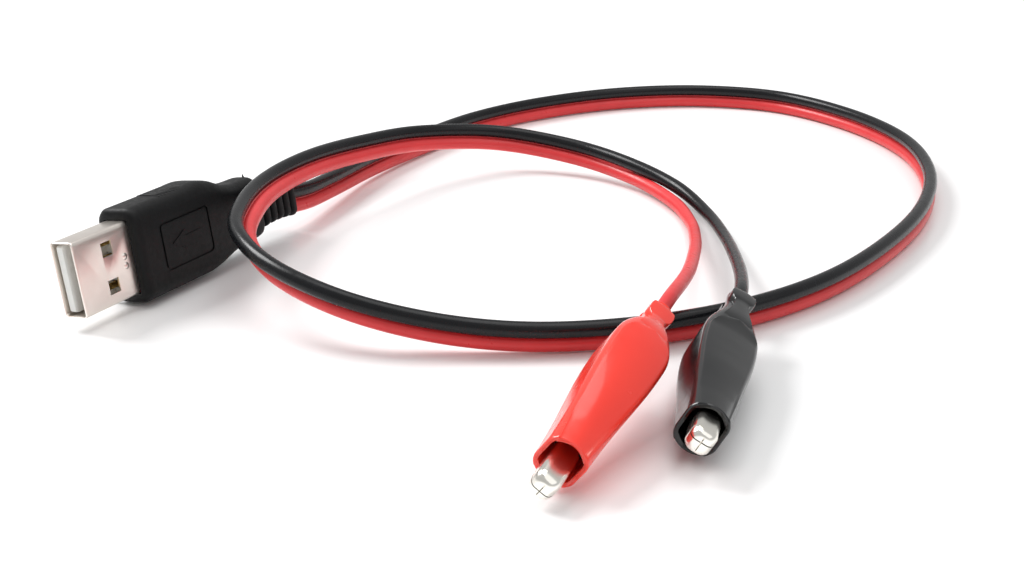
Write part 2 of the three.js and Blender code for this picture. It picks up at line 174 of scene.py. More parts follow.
# ---------------------------------------------------------------- shaping
def loft(rings: list[np.ndarray], capped: bool = True) -> Skin:
    """A skin over rings of equally many points.

    Args:
        rings: one array of points for each ring.
        capped: whether the first and last rings are filled.

    Returns:
        The skin's points and faces.
    """
    count = len(rings[0])
    faces: list[tuple[int, ...]] = []
    for r in range(len(rings) - 1):
        for i in range(count):
            a, b = r * count + i, r * count + (i + 1) % count
            faces.append((a, b, b + count, a + count))
    if capped:
        last = (len(rings) - 1) * count
        faces.append(tuple(range(count - 1, -1, -1)))
        faces.append(tuple(range(last, last + count)))
    return np.vstack(rings), faces


def sleeve(rings: list[np.ndarray]) -> Skin:
    """A skin whose last ring joins its first, such as a tube with an inside and an outside."""
    points, faces = loft(rings, capped=False)
    count, last = len(rings[0]), (len(rings) - 1) * len(rings[0])
    for i in range(count):
        after = (i + 1) % count
        faces.append((last + i, last + after, after, i))
    return points, faces


def rounded_ring(x: float, half_y: float, half_z: float, corner: float, mid_z: float = 0.0) -> np.ndarray:
    """A rounded rectangle across x, with extra points where each flat meets its corners."""
    corner = min(corner, half_y, half_z)
    ring = []
    for quarter, (sy, sz) in enumerate(((1, 1), (-1, 1), (-1, -1), (1, -1))):
        cy, cz = sy * (half_y - corner), sz * (half_z - corner)
        for step in range(8):
            angle = math.radians(90 * quarter + 90 * step / 7)
            ring.append((x, cy + corner * math.cos(angle), mid_z + cz + corner * math.sin(angle)))
    return np.array(ring)


def eased(stations: list[tuple[float, ...]], spacing: float) -> list[tuple[float, ...]]:
    """Stations filled in between with smooth curves, about one for each spacing of x."""
    table = np.array(stations, float)
    x = table[:, 0]
    slope = np.gradient(table[:, 1:], x, axis=0)
    filled = []
    for i in range(len(x) - 1):
        width = x[i + 1] - x[i]
        steps = max(1, round(abs(width) / spacing))
        for t in np.arange(steps) / steps:
            low, high = table[i, 1:], table[i + 1, 1:]
            curve = (2 * t**3 - 3 * t**2 + 1) * low + (3 * t**2 - 2 * t**3) * high
            curve = curve + (t**3 - 2 * t**2 + t) * width * slope[i] + (t**3 - t**2) * width * slope[i + 1]
            filled.append((x[i] + t * width, *curve))
    filled.append(tuple(table[-1]))
    return filled


def block(low: Point, high: Point) -> Skin:
    """A box between two corners, used to cut with."""
    (x0, y0, z0), (x1, y1, z1) = low, high
    ends = [np.array([(x, y0, z0), (x, y1, z0), (x, y1, z1), (x, y0, z1)]) for x in (x0, x1)]
    return loft(ends)


def curve_through(points: list[Point], spacing: float) -> np.ndarray:
    """A centripetal Catmull-Rom curve through the points, resampled evenly.

    Args:
        points: the points that the curve passes through.
        spacing: the distance between samples.

    Returns:
        The samples, one row each.
    """
    known = np.array(points, float)
    known = np.vstack([2 * known[0] - known[1], known, 2 * known[-1] - known[-2]])
    dense = []
    for i in range(1, len(known) - 2):
        p0, p1, p2, p3 = known[i - 1 : i + 3]
        d0, d1, d2 = (math.sqrt(np.linalg.norm(b - a)) for a, b in ((p0, p1), (p1, p2), (p2, p3)))
        m1 = ((p1 - p0) / d0 - (p2 - p0) / (d0 + d1) + (p2 - p1) / d1) * d1
        m2 = ((p2 - p1) / d1 - (p3 - p1) / (d1 + d2) + (p3 - p2) / d2) * d1
        for t in np.linspace(0, 1, 24, endpoint=False):
            h = (2 * t**3 - 3 * t**2 + 1, t**3 - 2 * t**2 + t, 3 * t**2 - 2 * t**3, t**3 - t**2)
            dense.append(h[0] * p1 + h[1] * m1 + h[2] * p2 + h[3] * m2)
    dense.append(known[-2])
    line = np.array(dense)
    along = np.concatenate([[0], np.cumsum(np.linalg.norm(np.diff(line, axis=0), axis=1))])
    even = np.linspace(0, along[-1], max(2, round(along[-1] / spacing)) + 1)
    return np.column_stack([np.interp(even, along, line[:, k]) for k in range(3)])


def tube(line: np.ndarray, radius: float | np.ndarray, sides: int) -> Skin:
    """A round tube along a line of samples, with its frame carried along without twist."""
    tangent = np.gradient(line, axis=0)
    tangent /= np.linalg.norm(tangent, axis=1)[:, None]
    across = np.cross(tangent[0], (0.0, 0.0, 1.0))
    if np.linalg.norm(across) < 1e-3:
        across = np.cross(tangent[0], (0.0, 1.0, 0.0))
    angle = np.linspace(0, 2 * math.pi, sides, endpoint=False)[:, None]
    rings = []
    for place, along, reach in zip(line, tangent, np.broadcast_to(radius, len(line))):
        across = across - along * np.dot(across, along)
        across /= np.linalg.norm(across)
        up = np.cross(along, across)
        rings.append(place + reach * (np.cos(angle) * across + np.sin(angle) * up))
    return loft(rings)


def merged(skins: list[Skin]) -> Skin:
    """Several skins as one list of points and faces."""
    points, faces, start = [], [], 0
    for made, sides in skins:
        points.append(made)
        faces.extend(tuple(start + i for i in side) for side in sides)
        start += len(made)
    return np.vstack(points), faces


def mesh_object(name: str, skins: list[Skin], place: Matrix | None = None) -> bpy.types.Object:
    """A new object from skins, put where its place says.

    Args:
        name: the object's name.
        skins: the skins that make it up.
        place: from the skins' units to the lead's metres, or none if they are already in metres.

    Returns:
        The object, with its mesh in the lead's frame.
    """
    points, faces = merged(skins)
    mesh = bpy.data.meshes.new(name)
    mesh.from_pydata(points.tolist(), [], faces)
    if place is not None:
        mesh.transform(place)
    tidy = bmesh.new()
    tidy.from_mesh(mesh)
    bmesh.ops.recalc_face_normals(tidy, faces=tidy.faces)
    tidy.to_mesh(mesh)
    tidy.free()
    made = bpy.data.objects.new(name, mesh)
    bpy.context.scene.collection.objects.link(made)
    return made


def join(piece: bpy.types.Object, other: bpy.types.Object) -> None:
    """Adds another object's mesh to a piece."""
    both = bmesh.new()
    both.from_mesh(piece.data)
    both.from_mesh(other.data)
    both.to_mesh(piece.data)
    both.free()
    bpy.data.objects.remove(other)


def carve(piece: bpy.types.Object, cutters: list[Skin], place: Matrix) -> None:
    """Cuts the skins out of a piece."""
    for skin in cutters:
        tool = mesh_object("cutter", [skin], place)
        cut = piece.modifiers.new("cut", "BOOLEAN")
        cut.operation, cut.solver, cut.object = "DIFFERENCE", "EXACT", tool
        settle(piece)
        bpy.data.objects.remove(tool)


def settle(piece: bpy.types.Object) -> None:
    """Makes a piece's modifiers part of its mesh."""
    graph = bpy.context.evaluated_depsgraph_get()
    made = bpy.data.meshes.new_from_object(piece.evaluated_get(graph))
    piece.modifiers.clear()
    piece.data = made


def soften(piece: bpy.types.Object, width: float, segments: int = 2, angle: float = 35.0) -> None:
    """Rounds a piece's sharp edges.

    Args:
        piece: the piece to round.
        width: the rounding's width in millimetres.
        segments: how many strips make the rounding.
        angle: edges that turn by more than this many degrees are rounded.
    """
    bevel = piece.modifiers.new("soften", "BEVEL")
    bevel.width, bevel.segments = width * MM, segments
    bevel.limit_method, bevel.angle_limit = "ANGLE", math.radians(angle)
    settle(piece)


def smooth(piece: bpy.types.Object, angle: float = 40.0) -> None:
    """Shades a piece smooth, but for edges that turn by more than the angle in degrees."""
    mesh = piece.data
    mesh.polygons.foreach_set("use_smooth", [True] * len(mesh.polygons))
    mesh.set_sharp_from_angle(angle=math.radians(angle))


def rest_on_table(piece: bpy.types.Object) -> None:
    """Flattens what would reach below the table, as a soft moulding does where it lies."""
    for vertex in piece.data.vertices:
        vertex.co.z = max(vertex.co.z, LOWEST)


def cad_copy(node: str, place: Matrix, keep_below: float) -> Skin:
    """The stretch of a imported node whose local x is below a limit, as a skin in local millimetres."""
    copy = bmesh.new()
    copy.from_mesh(frame["nodes"][node].data)
    copy.transform(place.inverted())
    bmesh.ops.remove_doubles(copy, verts=copy.verts, dist=1e-4)
    everything = copy.verts[:] + copy.edges[:] + copy.faces[:]
    bmesh.ops.bisect_plane(
        copy, geom=everything, plane_co=(keep_below, 0, 0), plane_no=(1, 0, 0), clear_outer=True
    )
    copy.verts.index_update()
    skin = np.array([v.co for v in copy.verts]), [tuple(v.index for v in f.verts) for f in copy.faces]
    copy.free()
    return skin


# ---------------------------------------------------------------- finishes
class Nodes:
    """A material's node tree, with short ways to add what the finishes share."""

    def __init__(self, name: str) -> None:
        """Starts a material with one shader."""
        self.material = bpy.data.materials.new(name)
        self.material.use_nodes = True
        self.tree = self.material.node_tree
        self.shader = self.tree.nodes["Principled BSDF"]
        self.coordinates = self.tree.nodes.new("ShaderNodeTexCoord")

    def link(self, start: bpy.types.NodeSocket, end: bpy.types.NodeSocket) -> None:
        """Joins two sockets."""
        self.tree.links.new(start, end)

    def fixed(self, **values: float) -> None:
        """Sets the shader's own sockets, whose names have spaces where the words have underscores."""
        for word, value in values.items():
            self.shader.inputs[word.replace("_", " ")].default_value = value

    def noise(self, scale: float, detail: float = 3.0, stretch: Point = (1, 1, 1)) -> bpy.types.NodeSocket:
        """A noise over the piece's own frame.

        Args:
            scale: how many lumps there are in a metre.
            detail: how many finer layers it has.
            stretch: how much finer it is along each axis.

        Returns:
            The noise's value.
        """
        shape = self.tree.nodes.new("ShaderNodeMapping")
        shape.inputs["Scale"].default_value = stretch
        self.link(self.coordinates.outputs["Object"], shape.inputs["Vector"])
        noise = self.tree.nodes.new("ShaderNodeTexNoise")
        noise.inputs["Scale"].default_value = scale
        noise.inputs["Detail"].default_value = detail
        self.link(shape.outputs["Vector"], noise.inputs["Vector"])
        return noise.outputs["Fac"]

    def ramp(self, value: bpy.types.NodeSocket, low: float, high: float) -> bpy.types.NodeSocket:
        """Brings a 0 to 1 value into a range."""
        span = self.tree.nodes.new("ShaderNodeMapRange")
        span.inputs["From Min"].default_value = 0.3
        span.inputs["From Max"].default_value = 0.7
        span.inputs["To Min"].default_value = low
        span.inputs["To Max"].default_value = high
        self.link(value, span.inputs["Value"])
        return span.outputs["Result"]

    def colours(self, value: bpy.types.NodeSocket, first: Point, second: Point) -> None:
        """Lets a value choose between two base colours."""
        mix = self.tree.nodes.new("ShaderNodeValToRGB")
        mix.color_ramp.elements[0].position, mix.color_ramp.elements[1].position = 0.3, 0.7
        mix.color_ramp.elements[0].color = (*first, 1)
        mix.color_ramp.elements[1].color = (*second, 1)
        self.link(value, mix.inputs["Fac"])
        self.link(mix.outputs["Color"], self.shader.inputs["Base Color"])

    def bumps(self, layers: list[tuple[bpy.types.NodeSocket, float]]) -> None:
        """Raises the surface by each layer's value times its height in millimetres."""
        before = None
        for value, height in layers:
            bump = self.tree.nodes.new("ShaderNodeBump")
            bump.inputs["Strength"].default_value = 1.0
            bump.inputs["Distance"].default_value = height * MM
            self.link(value, bump.inputs["Height"])
            if before is not None:
                self.link(before, bump.inputs["Normal"])
            before = bump.outputs["Normal"]
        self.link(before, self.shader.inputs["Normal"])


@dataclass(frozen=True)
class VinylFinish:
    """Dipped vinyl: one colour, wet-looking, with a slow waviness and a little depth."""

    name: str
    slot: str
    light: Point
    deep: Point
    roughness: float
    coat: float
    glow: float

    def make(self) -> bpy.types.Material:
        """Builds the material."""
        nodes = Nodes(self.name)
        slow = nodes.noise(90, 2)
        nodes.colours(slow, self.deep, self.light)
        nodes.link(nodes.ramp(nodes.noise(600, 4), self.roughness * 0.8, self.roughness * 1.25),
                   nodes.shader.inputs["Roughness"])
        nodes.bumps([(slow, 0.06), (nodes.noise(1500, 3), 0.002)])
        nodes.fixed(IOR=1.5, Coat_Weight=self.coat, Coat_Roughness=0.05, Subsurface_Weight=self.glow,
                    Subsurface_Scale=0.0012)
        return nodes.material


@dataclass(frozen=True)
class CordFinish:
    """Extruded wire insulation: semi-gloss, with fine drawn lines and small scuffs."""

    name: str
    slot: str
    light: Point
    deep: Point
    roughness: float
    shine: float

    def make(self) -> bpy.types.Material:
        """Builds the material."""
        nodes = Nodes(self.name)
        nodes.colours(nodes.noise(140, 3), self.deep, self.light)
        nodes.link(nodes.ramp(nodes.noise(900, 4), self.roughness * 0.8, self.roughness * 1.2),
                   nodes.shader.inputs["Roughness"])
        nodes.bumps([(nodes.noise(450, 3), 0.012), (nodes.noise(2600, 2), 0.002)])
        nodes.fixed(IOR=1.46, Specular_IOR_Level=self.shine)
        return nodes.material


@dataclass(frozen=True)
class MetalFinish:
    """Plated or drawn metal, with rolling lines along one axis and a patchy sheen."""

    name: str
    slot: str
    light: Point
    deep: Point
    roughness: float
    lines: float
    stretch: Point = (1, 1, 12)

    def make(self) -> bpy.types.Material:
        """Builds the material."""
        nodes = Nodes(self.name)
        nodes.colours(nodes.noise(260, 4), self.deep, self.light)
        nodes.link(nodes.ramp(nodes.noise(800, 5), self.roughness * 0.94, self.roughness * 1.06),
                   nodes.shader.inputs["Roughness"])
        nodes.bumps([(nodes.noise(420, 3, self.stretch), self.lines)])
        nodes.fixed(Metallic=1.0)
        return nodes.material


@dataclass(frozen=True)
class MouldFinish:
    """Moulded plastic with the fine spark-eroded grain of its tool."""

    name: str
    slot: str
    light: Point
    deep: Point
    roughness: float
    grain: float
    shine: float

    def make(self) -> bpy.types.Material:
        """Builds the material."""
        nodes = Nodes(self.name)
        fine = nodes.noise(4200, 3)
        nodes.colours(nodes.noise(500, 5), self.deep, self.light)
        nodes.link(nodes.ramp(nodes.noise(1400, 4), self.roughness * 0.85, self.roughness * 1.15),
                   nodes.shader.inputs["Roughness"])
        nodes.bumps([(fine, self.grain), (nodes.noise(300, 2), 0.015)])
        nodes.fixed(IOR=1.48, Specular_IOR_Level=self.shine)
        return nodes.material


@dataclass(frozen=True)
class StrandFinish:
    """Bare twisted copper strands."""

    name: str
    slot: str

    def make(self) -> bpy.types.Material:
        """Builds the material."""
        nodes = Nodes(self.name)
        nodes.colours(nodes.noise(1200, 3), (0.42, 0.17, 0.08), (0.72, 0.36, 0.19))
        wave = nodes.tree.nodes.new("ShaderNodeTexWave")
        wave.bands_direction = "DIAGONAL"
        wave.inputs["Scale"].default_value = 900
        nodes.link(nodes.coordinates.outputs["Object"], wave.inputs["Vector"])
        nodes.bumps([(wave.outputs["Fac"], 0.12)])
        nodes.fixed(Metallic=1.0, Roughness=0.35)
        return nodes.material


@dataclass(frozen=True)
class TableFinish:
    """A plain white glossy sheet."""

    name: str = "white_sheet"

    def make(self) -> bpy.types.Material:
        """Builds the material."""
        nodes = Nodes(self.name)
        nodes.colours(nodes.noise(3, 2), (0.93, 0.93, 0.93), (0.95, 0.95, 0.95))
        nodes.fixed(Roughness=0.22, IOR=1.42)
        return nodes.material


RED_VINYL = VinylFinish(
    "red_vinyl", "red_vinyl", (0.96, 0.042, 0.022), (0.92, 0.036, 0.019), 0.22, 0.35, 0.05
)
BLACK_VINYL = VinylFinish(
    "black_vinyl", "black_vinyl", (0.0065, 0.0070, 0.0080), (0.0045, 0.0050, 0.0055), 0.20, 0.15, 0.0
)
RED_WIRE = CordFinish(
    "red_insulation", "red_wire_skin", (0.72, 0.042, 0.046), (0.64, 0.034, 0.038), 0.34, 0.5
)
BLACK_WIRE = CordFinish(
    "black_insulation", "black_wire_skin", (0.0065, 0.0070, 0.0085), (0.0045, 0.0050, 0.006), 0.26, 0.3
)
SHELL_NICKEL = MetalFinish(
    "shell_nickel", "nickel_plate", (0.90, 0.84, 0.78), (0.86, 0.79, 0.73), 0.30, 0.0005
)
JAW_NICKEL = MetalFinish("jaw_nickel", "jaw_plate", (0.91, 0.89, 0.83), (0.86, 0.83, 0.76), 0.20, 0.001)
SPRING_STEEL = MetalFinish("spring_steel", "spring_wire", (0.58, 0.58, 0.60), (0.46, 0.46, 0.48), 0.30, 0.004)
GOLD_FLASH = MetalFinish("gold_flash", "gold_plate", (0.93, 0.70, 0.30), (0.85, 0.62, 0.25), 0.22, 0.001)
BARE_STRANDS = StrandFinish("bare_strands", "copper")
BLACK_MOULD = MouldFinish(
    "black_moulding", "black_moulding", (0.0045, 0.0047, 0.0052), (0.0030, 0.0032, 0.0036), 0.50, 0.03, 0.22
)
WHITE_NYLON = MouldFinish(
    "white_nylon", "insulator", (0.86, 0.86, 0.83), (0.80, 0.80, 0.77), 0.42, 0.006, 0.5
)
INNER_MOULD = MouldFinish(
    "inner_moulding", "inner_moulding", (0.72, 0.69, 0.60), (0.62, 0.59, 0.50), 0.50, 0.01, 0.5
)
FINISHES = {}


def wear(piece: bpy.types.Object, finish: object) -> None:
    """Gives a piece its finish's material, which is made the first time it is asked for."""
    if finish.name not in FINISHES:
        FINISHES[finish.name] = finish.make()
    piece.data.materials.clear()
    piece.data.materials.append(FINISHES[finish.name])


def dress(piece: bpy.types.Object, finish: object) -> None:
    """Gives a new piece its finish."""
    wear(piece, finish)
    hasattr(finish, "slot") and "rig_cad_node" not in piece


def redress(node: str, finish: object) -> None:
    """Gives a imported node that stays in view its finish."""
    wear(frame["nodes"][node], finish)
    LOG.info("kept %s", node)


def finished(
    piece: bpy.types.Object, finish: object, *nodes: str, body: str | None = LEAD_BODY
) -> None:
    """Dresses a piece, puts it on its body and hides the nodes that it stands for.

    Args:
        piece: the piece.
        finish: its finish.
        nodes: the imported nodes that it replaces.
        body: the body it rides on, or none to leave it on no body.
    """
    dress(piece, finish)
    if body is not None:
        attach(piece, body)
    if nodes:
        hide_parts(*nodes)
    LOG.info("made %s: %d faces", piece.name, len(piece.data.polygons))


# ---------------------------------------------------------------- the view and the table
@dataclass
class Studio:
    """The camera, the lights and the white sheet that the lead lies on."""

    eye: Point = (0.01683, -0.19481, 0.0835)
    tilt: float = 21.3
    lens: float = 49.2
    sheet: float = 6.0

    def build(self) -> None:
        """Makes the camera, lights, surroundings and sheet."""
        scene = bpy.context.scene
        scene.view_settings.view_transform = "Standard"
        camera = bpy.data.cameras.new("camera")
        camera.lens, camera.sensor_width = self.lens, 36.0
        camera.clip_start, camera.clip_end = 0.005, 20.0
        eye = bpy.data.objects.new("camera", camera)
        eye.location = self.eye
        eye.rotation_euler = (math.radians(90 - self.tilt), 0, 0)
        scene.collection.objects.link(eye)
        scene.camera = eye
        self.surround(scene)
        self.softbox("key", (-0.60, 0.35, 0.70), (0.0, 0.03, 0.0), 0.45, 8.4)
        self.softbox("fill", (0.55, -0.35, 0.65), (0.03, 0.0, 0.0), 0.8, 1.2)
        self.softbox("overhead", (0.1, 0.15, 0.95), (0.03, 0.02, 0.0), 0.7, 3.4)
        half = self.sheet / 2
        corners = np.array([(-half, -half, 0), (half, -half, 0), (half, half, 0), (-half, half, 0)])
        sheet = mesh_object("table_sheet", [(corners, [(0, 1, 2, 3)])])
        dress(sheet, TableFinish())

    def surround(self, scene: bpy.types.Scene) -> None:
        """Lights everything evenly from all round."""
        world = bpy.data.worlds.new("surround")
        world.use_nodes = True
        light = world.node_tree.nodes["Background"]
        light.inputs["Color"].default_value = (1.0, 1.0, 1.0, 1)
        light.inputs["Strength"].default_value = 0.55
        scene.world = world

    def softbox(self, name: str, at: Point, towards: Point, size: float, power: float) -> None:
        """Adds a square area light aimed at a point."""
        lamp = bpy.data.lights.new(name, "AREA")
        lamp.shape, lamp.size, lamp.energy = "SQUARE", size, power
        made = bpy.data.objects.new(name, lamp)
        made.location = at
        made.rotation_euler = (Vector(towards) - Vector(at)).to_track_quat("-Z", "Y").to_euler()
        bpy.context.scene.collection.objects.link(made)


# ---------------------------------------------------------------- the cord
@dataclass
class TwinCord:
    """The red and black wires, bonded side by side until the split."""

    radius: float = 0.0012
    pitch: float = 0.0027
    skin_radius: float = 0.00128
    tail_radius: float = 0.00108
    sides: int = 18
    spacing: float = 0.0013
    web_half: float = 0.00024
    neck: float = -24.0

    def pair_points(self, side: float) -> list[Point]:
        """The middle line of one wire while it is bonded, a share of half a pitch from the pair's."""
        points = []
        for i, (x, y, z, lean) in enumerate(PAIR_ROUTE):
            before, after = PAIR_ROUTE[max(i - 1, 0)], PAIR_ROUTE[min(i + 1, len(PAIR_ROUTE) - 1)]
            along = Vector((after[0] - before[0], after[1] - before[1], 0)).normalized()
            outward = Vector((0, 0, 1)).cross(along) * math.sin(math.radians(lean))
            across = outward + Vector((0, 0, 1)) * math.cos(math.radians(lean))
            points.append(tuple(Vector((x, y, z)) + across * side * self.pitch / 2))
        return points

    def wire_line(self, side: Side, tail: tuple[Point, ...], clip: Place) -> np.ndarray:
        """A wire's middle line from the plug to the inside of its clip's neck."""
        ends = [tuple(clip.point(x, 0, -0.4)) for x in (self.neck - 4, self.neck, -21.3)]
        return curve_through([*self.pair_points(side.value), *tail, *ends], self.spacing)

    def wire(self, side: Side, tail: tuple[Point, ...], clip: Place, finish: CordFinish) -> None:
        name = side.name.lower()
        line = self.wire_line(side, tail, clip)
        split = int(np.argmin(np.linalg.norm(line - np.array(tail[0]), axis=1)))
        thin = np.clip((np.arange(len(line)) - split) / 12, 0, 1)
        radius = self.skin_radius + (self.tail_radius - self.skin_radius) * thin
        piece = mesh_object(f"{name}_insulation", [tube(line, radius, self.sides)])
        smooth(piece)
        finished(piece, finish, f"{name}_wire")

    def web(self) -> None:
        """Makes the thin web that bonds the two wires, up to the split."""
        low = curve_through(self.pair_points(-0.45), self.spacing)
        high = curve_through(self.pair_points(0.45), self.spacing)
        count = min(len(low), len(high))
        low, high = (line[np.linspace(0, len(line) - 1, count).round().astype(int)] for line in (low, high))
        rings = []
        for a, b, along in zip(low, high, np.gradient(low, axis=0)):
            flat = np.cross(b - a, along)
            flat *= self.web_half / np.linalg.norm(flat)
            rings.append(np.array([a - flat, b - flat, b + flat, a + flat]))
        piece = mesh_object("cord_web", [loft(rings)])
        smooth(piece)
        finished(piece, RED_WIRE)

    def build(self) -> None:
        """Makes the whole cord."""
        self.wire(Side.RED, RED_TAIL, RED_CLIP_PLACE, RED_WIRE)
        self.wire(Side.BLACK, BLACK_TAIL, BLACK_CLIP_PLACE, BLACK_WIRE)
        self.web()


# ---------------------------------------------------------------- the plug
@dataclass
class UsbPlug:
    """The USB-A plug: folded shell, tongue, contacts and the moulded grip with its strain relief."""

    place: Place
    width: float = 12.0
    height: float = 4.5
    wall: float = 0.32
    shell_end: float = 18.8
    corner: float = 0.62
    window: Point = (5.7, 8.0, 1.15)
    window_middle: float = 3.0
    tongue_half: float = 5.35
    contact_places: tuple[tuple[str, float], ...] = (
        ("contact_vbus", 3.5), ("contact_data_minus", 1.0),
        ("contact_data_plus", -1.0), ("contact_ground", -3.5),
    )
    body_front: float = 11.9
    body_end: float = 44.5
    body_half_width: float = 7.8
    body_half_height: float = 4.0
    relief_end: float = 55.0
    drop: float = 0.7
    droop: float = 2.2
    ribs: int = 5

    def build(self) -> None:
        """Makes every piece of the plug."""
        self.shell()
        self.tongue()
        self.contacts()
        self.moulding()
        redress("plug_core", INNER_MOULD)
        redress("plug_red_conductor", BARE_STRANDS)
        redress("plug_black_conductor", BARE_STRANDS)

    def shell(self) -> None:
        """Makes the folded shell with its rolled lip, windows, closing seam and two pressed dimples."""
        half_y, half_z, wall, corner = self.height / 2, self.width / 2, self.wall, self.corner
        outside = [(0.0, -0.14), (0.05, -0.05), (0.16, 0.0), (0.4, 0.0), (11.5, 0.0), (self.shell_end, 0.0)]
        inside = [(self.shell_end, 0.0), (0.7, 0.0), (0.3, 0.03), (0.0, 0.12)]
        rings = [rounded_ring(x, half_y + grow, half_z + grow, corner) for x, grow in outside]
        rings += [rounded_ring(x, half_y - wall + grow, half_z - wall + grow, corner - 0.2)
                  for x, grow in inside]
        piece = mesh_object("plug_shell_folded", [sleeve(rings)], self.place.matrix())
        x0, x1, tall = self.window
        cutters = [block((x0, -3, mid - tall), (x1, 3, mid + tall))
                   for mid in (-self.window_middle, self.window_middle)]
        seam = block((-1, half_y - 0.12, -0.035), (self.shell_end + 1, half_y + 1, 0.035))
        key = block((4.0, half_y - 0.12, -0.9), (4.07, half_y + 1, 0.9))
        carve(piece, [*cutters, seam, key], self.place.matrix())
        soften(piece, 0.045, 2, 50)
        dimples = [self.dimple(10.2, z) for z in (-0.75, 0.75)]
        join(piece, mesh_object("dimples", dimples, self.place.matrix()))
        smooth(piece, 38)
        finished(piece, SHELL_NICKEL, "plug_shell")

    def dimple(self, x: float, z: float) -> Skin:
        """A low round pimple on the shell's latch face."""
        rings = []
        for reach, rise in ((0.62, -0.05), (0.52, 0.02), (0.4, 0.1), (0.24, 0.15), (0.02, 0.17)):
            angle = np.linspace(0, 2 * math.pi, 20, endpoint=False)
            y = np.full(20, -self.height / 2 - rise)
            rings.append(np.column_stack([x + reach * np.cos(angle), y, z + reach * np.sin(angle)]))
        return loft(rings)

    def tongue(self) -> None:
        """Makes the insulator: a tongue with a chamfered nose and a slot for each contact."""
        half = self.tongue_half
        rings = []
        for x, less in ((0.5, 0.28), (0.75, 0.08), (1.1, 0.0), (9.2, 0.0)):
            rings.append(rounded_ring(x, 0.72 - less * 0.6, half - less, 0.22) + np.array((0, 0.88, 0)))
        block_rings = [rounded_ring(x, 1.6, half, 0.3) for x in (9.25, 18.5)]
        piece = mesh_object("plug_tongue_moulded", [loft(rings), loft(block_rings)], self.place.matrix())
        slots = [block((2.4, -2.2, z - 0.62), (19, 0.3, z + 0.62)) for _, z in self.contact_places]
        carve(piece, slots, self.place.matrix())
        smooth(piece, 35)
        finished(piece, WHITE_NYLON, "plug_tongue")

    def contacts(self) -> None:
        """Makes the four contact strips, each with a rounded nose that dips into the tongue."""
        stations = ((2.6, -0.05, 0.34), (2.8, -0.2, 0.46), (3.2, -0.25, 0.5),
                    (9.0, -0.25, 0.5), (21.0, -0.25, 0.5))
        for name, z in self.contact_places:
            rings = []
            for x, y, half in stations:
                rings.append(rounded_ring(x, 0.11, half, 0.06) + np.array((0, y + 0.03, z)))
            piece = mesh_object(f"{name}_strip", [loft(rings)], self.place.matrix())
            smooth(piece)
            finished(piece, GOLD_FLASH, name)

    def moulding(self) -> None:
        """Makes the grip and ribbed relief, with framed panels, arrows, ridges and slivers of flash."""
        piece = mesh_object("plug_grip", [self.grip_body()], self.place.matrix())
        cavity = block((10, -2.32, -6.06), (29.3, 2.32, 6.06))
        carve(piece, [cavity, *self.panel_frames()], self.place.matrix())
        extras = [*self.ridges(), *self.panel_arrows(), *self.flash()]
        join(piece, mesh_object("extras", extras, self.place.matrix()))
        rest_on_table(piece)
        smooth(piece, 42)
        finished(piece, BLACK_MOULD, "plug_overmould")

    def grip_body(self) -> Skin:
        """The grip's and the strain relief's outer skin, as one closed form."""
        half_w, half_h, end = self.body_half_width, self.body_half_height, self.body_end
        start, drop = self.body_front, self.drop
        front = [(start, 1.0, 0.9, 0.0), (start + 0.12, 0.55, 0.5, 0.0), (start + 0.4, 0.2, 0.2, 0.0)]
        middle = eased([(start + 0.9, 0.0, 0.0, 0.0), (16.0, 0.0, 0.0, 0.0), (24.0, 0.0, 0.0, 0.0),
                        (29.5, 0.0, 0.0, 0.0), (32.0, 0.5, 0.1, 0.12), (35.0, 1.55, 0.2, 0.42),
                        (38.0, 2.15, 0.4, 0.62), (43.0, 2.3, 0.7, drop)], 0.8)
        back = [(end - 0.8, 2.4, 0.8, drop), (end - 0.4, 2.6, 1.0, drop), (end - 0.1, 2.9, 1.35, drop),
                (end, 3.2, 1.7, drop)]
        rings = []
        for x, less_w, less_h, lower in [*front, *middle, *back]:
            rings.append(rounded_ring(x, half_h - less_h, half_w - less_w, 2.3, -lower))
        step = (self.relief_end - end) / self.ribs
        for rib in range(self.ribs):
            for share, depth in ((0.06, 0.62), (0.26, 0.62), (0.33, 0.3), (0.42, 0.06), (0.52, 0.0),
                                 (0.8, 0.0), (0.9, 0.06), (0.98, 0.3)):
                part = (rib + share) / self.ribs
                wide, high = 4.3 + (3.3 - 4.3) * part - depth, 3.0 + (2.35 - 3.0) * part - depth
                lower = drop + (self.droop - drop) * part**2
                rings.append(rounded_ring(end + step * (rib + share), high, wide, 1.5, -lower))
        return loft(rings)

    def panel_frames(self) -> list[Skin]:
        """The frame line sunk in each wide face, with rounded corners."""
        outer = self.frame_ring(17.0, 29.0, 4.0, 0.9)
        inner = self.frame_ring(17.42, 28.58, 3.58, 0.55)
        frames = []
        for face in (-1, 1):
            low, high = face * (self.body_half_height - 0.22), face * (self.body_half_height + 1)
            frames.append(sleeve([self.at_height(outer, low), self.at_height(outer, high),
                                  self.at_height(inner, high), self.at_height(inner, low)]))
        return frames

    def frame_ring(self, x_low: float, x_high: float, half_z: float, corner: float) -> np.ndarray:
        """A rounded rectangle in the plane of a wide face, as (x, z) pairs."""
        ring = rounded_ring(0, (x_high - x_low) / 2, half_z, corner)
        return np.column_stack([ring[:, 1] + (x_low + x_high) / 2, ring[:, 2]])

    def at_height(self, ring: np.ndarray, y: float) -> np.ndarray:
        """An (x, z) ring as points at one y."""
        return np.column_stack([ring[:, 0], np.full(len(ring), y), ring[:, 1]])

